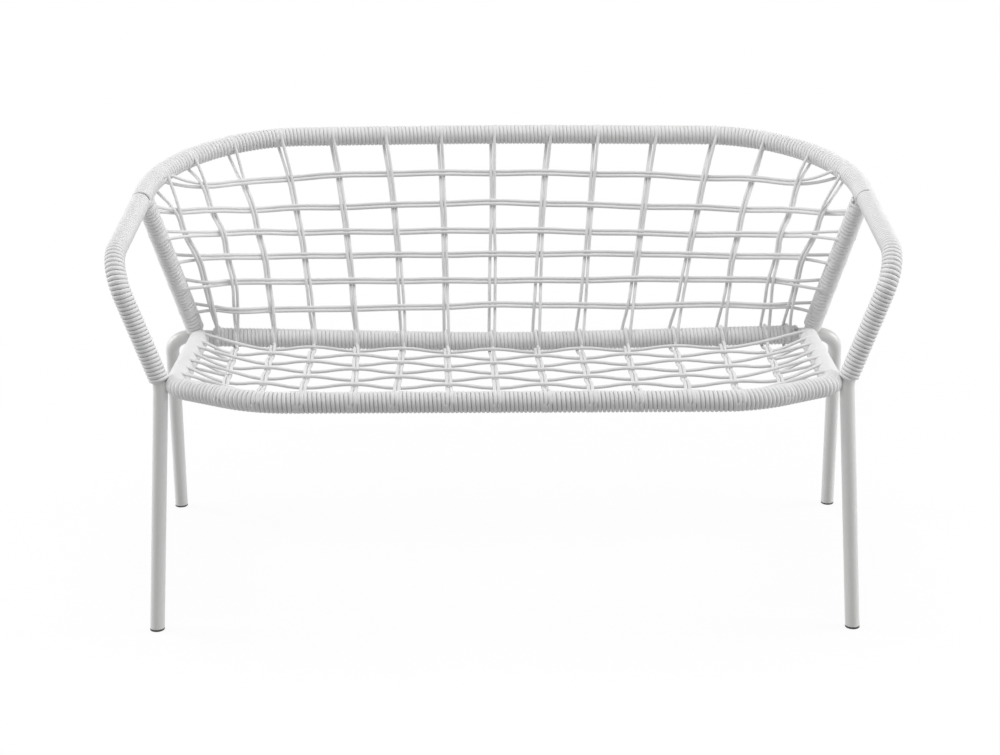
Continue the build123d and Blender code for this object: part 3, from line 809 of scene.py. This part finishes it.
for piece in windings + net_cords:
    piece.data.materials.clear()
    piece.data.materials.append(cord_finish)
tube_nodes = ["front_leg_and_arm_left", "front_leg_and_arm_right", "back_top_rail", "back_upright_left",
              "back_upright_right", "rear_legs_and_seat_rail", "seat_front_and_side_rails"]
glide_nodes = ["front_foot_glides", "rear_foot_glides"]
for names_of, material in ((tube_nodes, paint_finish), (glide_nodes, glide_finish)):
    for name in names_of:
        for place in nodes[name].material_slots:
            place.material = material
print("finishes:", [material.name for material in (cord_finish, paint_finish, glide_finish)])

# %% [markdown]
# ## Studio and camera
#
# A plain white floor, soft light from above and both sides, and a camera a little above the seat.
# The floor looks white to the camera without more light on the bench: part of its colour is a
# plain glow that only the camera and reflections see. Near the bench the glow is a tenth weaker,
# so that the soft shadow stays.

# %% Floor, light and camera
for guide in [top_rail, rear_rail, seat_rail, *arms.values(), *uprights.values()]:
    bpy.data.objects.remove(guide.line)

deselect_all()
bpy.ops.mesh.primitive_plane_add(size=30, location=(0, 0, -0.0005))
floor = bpy.context.object
floor.name = "floor"
floor_finish = bpy.data.materials.new("floor_finish")
floor_finish.use_nodes = True
tree = floor_finish.node_tree
matt = tree.nodes["Principled BSDF"]
matt.inputs["Roughness"].default_value = 0.9
glow = node(tree, "ShaderNodeEmission", {"Strength": 1.0})
rays = node(tree, "ShaderNodeLightPath")
pale = node(tree, "ShaderNodeMix", {"Factor": rays.outputs["Is Camera Ray"], "A": (0.5, 0.5, 0.5, 1),
            "B": (1, 1, 1, 1)}, data_type="RGBA")
tree.links.new(pale.outputs["Result"], matt.inputs["Base Color"])
seen = node(tree, "ShaderNodeMath", {0: rays.outputs["Is Camera Ray"], 1: rays.outputs["Is Glossy Ray"]},
            operation="MAXIMUM")
place = node(tree, "ShaderNodeTexCoord")
away = node(tree, "ShaderNodeVectorMath", {0: place.outputs["Object"]}, operation="LENGTH")
near = node(tree, "ShaderNodeMapRange", {"Value": away.outputs["Value"], "From Min": 0.9, "From Max": 2.0,
            "To Min": 0.9, "To Max": 1.0})
amount = node(tree, "ShaderNodeMath", {0: seen.outputs[0], 1: near.outputs[0]}, operation="MULTIPLY")
mixed = node(tree, "ShaderNodeMixShader", {0: amount.outputs[0], 1: matt.outputs[0], 2: glow.outputs[0]})
tree.links.new(mixed.outputs[0], tree.nodes["Material Output"].inputs["Surface"])
floor.data.materials.append(floor_finish)

world = bpy.context.scene.world or bpy.data.worlds.new("studio")
bpy.context.scene.world = world
world.use_nodes = True
sky = world.node_tree
sky.nodes.clear()
soft = node(sky, "ShaderNodeBackground", {"Color": (1, 1, 1, 1), "Strength": 0.32})
white = node(sky, "ShaderNodeBackground", {"Color": (1, 1, 1, 1), "Strength": 1.0})
rays = node(sky, "ShaderNodeLightPath")
mixed = node(sky, "ShaderNodeMixShader", {0: rays.outputs["Is Camera Ray"],
             1: soft.outputs[0], 2: white.outputs[0]})
node(sky, "ShaderNodeOutputWorld", {"Surface": mixed.outputs[0]})


def lamp(name, place, target, size, power):
    deselect_all()
    bpy.ops.object.light_add(type="AREA", location=place)
    light = bpy.context.object
    light.name = name
    light.rotation_mode = "QUATERNION"
    light.rotation_quaternion = (Vector(target) - Vector(place)).to_track_quat("-Z", "Y")
    light.data.shape = "DISK"
    light.data.size = size
    light.data.energy = power


lamp("left_lamp", (-4.5, 0.9, 1.6), (0, 0, 0.5), 3.0, 115)
lamp("right_lamp", (4.5, 0.1, 1.6), (0, 0, 0.5), 3.0, 110)
lamp("top_lamp", (0, -0.7, 4.0), (0, 0, 0.5), 3.0, 78)

deselect_all()
camera_distance, camera_height = 2.96, 1.40      # from the line of the front feet and the floor
looking_down, roll = 17.7, 0.25                  # in degrees
eye = (0, feet_line_y - camera_distance, camera_height)
bpy.ops.object.camera_add(location=eye, rotation=(radians(90 - looking_down), radians(roll), 0))
camera = bpy.context.object
camera.name = "camera"
camera.data.lens = 67.39
camera.data.sensor_width = 36
camera.data.shift_x = -0.0013
bpy.context.scene.camera = camera
bpy.context.scene.view_settings.view_transform = "Standard"
